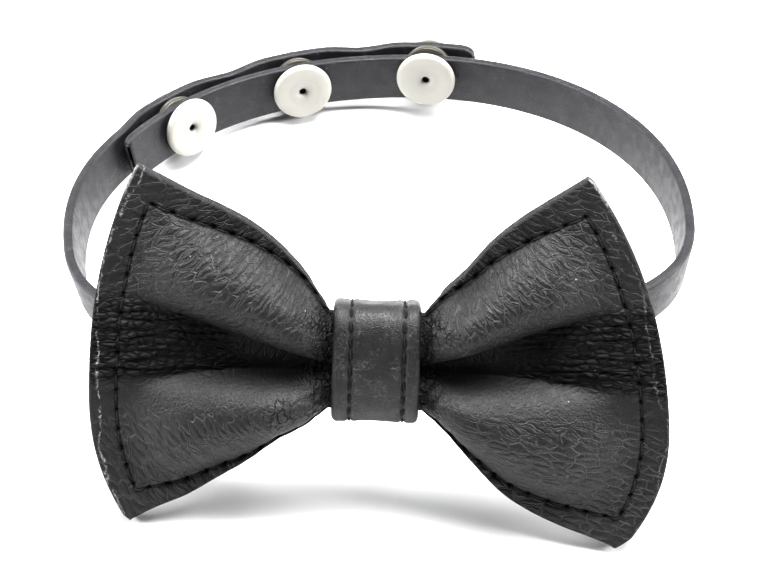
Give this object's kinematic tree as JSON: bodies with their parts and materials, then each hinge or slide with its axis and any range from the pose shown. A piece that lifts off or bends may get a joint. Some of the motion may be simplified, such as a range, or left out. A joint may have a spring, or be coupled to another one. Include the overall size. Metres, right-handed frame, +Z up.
{
  "type": "pet bow tie collar",
  "caption": "Padded black leather bow with stitched edges and a knot band, on a narrow leather strap that loops round the neck and closes with round plastic snaps.",
  "frame": {"origin": "bottom centre of the bounding box, on the surface that the collar stands on", "axes": "+Z up, the bow faces -Y and the strap loops back towards +Y, +X to the right when the bow is seen from the front"},
  "size_m": [0.124, 0.1194, 0.0631],
  "materials": {
    "bow_leather": "pebbled, satin",
    "band_leather": "smooth, satin",
    "strap_leather": "smooth, satin",
    "snap_plastic": "smooth, softly shiny"
  },
  "bodies": {
    "root": {"bow_front_panel": "bow_leather", "bow_back_panel": "bow_leather", "knot_band": "band_leather", "strap": "strap_leather", "snap_inner_cap_1": "snap_plastic", "snap_socket_1": "snap_plastic", "snap_stud_1": "snap_plastic", "snap_back_cap_1": "snap_plastic", "snap_inner_cap_2": "snap_plastic", "snap_socket_2": "snap_plastic", "snap_stud_2": "snap_plastic", "snap_back_cap_2": "snap_plastic", "snap_inner_cap_3": "snap_plastic", "snap_socket_3": "snap_plastic", "snap_stud_3": "snap_plastic", "snap_back_cap_3": "snap_plastic"}
  },
  "joints": []
}
